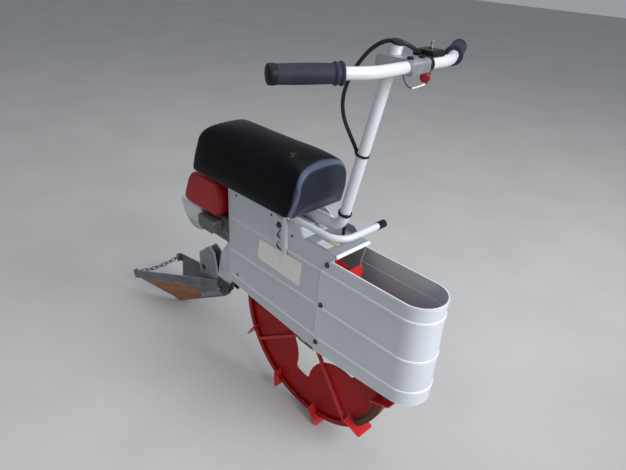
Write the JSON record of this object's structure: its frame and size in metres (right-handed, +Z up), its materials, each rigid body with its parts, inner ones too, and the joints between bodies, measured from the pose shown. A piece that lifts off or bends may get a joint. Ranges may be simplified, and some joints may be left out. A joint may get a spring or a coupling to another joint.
{
  "type": "riding paddy ditcher",
  "caption": "Single-wheel walk-astride ditching machine for flooded rice fields: lugged driving wheel in a sheet body, seat, handlebar, rear engine and a trailing V plough.",
  "frame": {"origin": "on the ground, half way along the object's length, on its middle plane", "axes": "+X forward, +Y the rider's left, +Z up"},
  "size_m": [1.2054, 0.5702, 1.0378],
  "materials": {
    "body_grey": "satin",
    "nose_white": "satin",
    "deck_grey": "satin",
    "tube_white": "gloss",
    "frame_grey": "satin",
    "case_alloy": "painted casting, satin",
    "wheel_red": "satin, worn",
    "seat_black": "smooth coated cover over foam, satin",
    "grip_rubber": "matt",
    "black_plastic": "matt",
    "clamp_alloy": "cast, satin",
    "engine_red": "gloss",
    "engine_dark": "rough",
    "tank_white": "translucent, satin",
    "plough_steel": "worn paint over steel, rust",
    "bare_steel": "satin"
  },
  "bodies": {
    "root": {"axle": "bare_steel", "chain_case": "case_alloy", "axle_arm_right": "frame_grey", "side_panel_right": "body_grey", "side_panel_left": "body_grey", "nose_guard": "nose_white", "deck_plate": "deck_grey", "top_cover": "tube_white", "rear_bulkhead": "frame_grey", "main_frame": "frame_grey", "gear_case": "case_alloy", "seat_base": "tube_white", "seat_pad": "seat_black", "column_base": "tube_white", "column_tube": "tube_white", "column_band": "black_plastic", "column_cap": "black_plastic", "handlebar": "tube_white", "bar_clamp": "clamp_alloy", "grip_right": "grip_rubber", "grip_left": "grip_rubber", "throttle_housing": "black_plastic", "kill_switch": "black_plastic", "throttle_cable": "black_plastic", "adjuster_lever": "tube_white", "lever_plug": "black_plastic", "lever_guide": "body_grey", "engine_block": "engine_dark", "engine_cover": "engine_red", "fuel_tank": "tank_white", "fuel_cap": "black_plastic", "recoil_starter": "black_plastic", "muffler": "engine_dark", "hitch_bracket": "frame_grey", "hitch_pin": "bare_steel"},
    "wheel": {"wheel_rim": "wheel_red", "wheel_disc": "wheel_red", "wheel_hub": "wheel_red", "wheel_spokes": "wheel_red", "wheel_lugs": "wheel_red"},
    "plough": {"plough_wing_right": "plough_steel", "plough_wing_left": "plough_steel", "plough_keel": "plough_steel", "plough_mast": "plough_steel", "plough_chain": "plough_steel"}
  },
  "joints": [
    {"name": "wheel_spin", "type": "hinge", "parent": "root", "child": "wheel", "pos_m": [0.25628, 0, 0.27917], "axis": [0, 1, 0], "continuous": true},
    {"name": "plough_lift", "type": "hinge", "parent": "root", "child": "plough", "pos_m": [-0.15072, 0, 0.212], "axis": [0, 1, 0], "range_deg": [0, 25]}
  ]
}
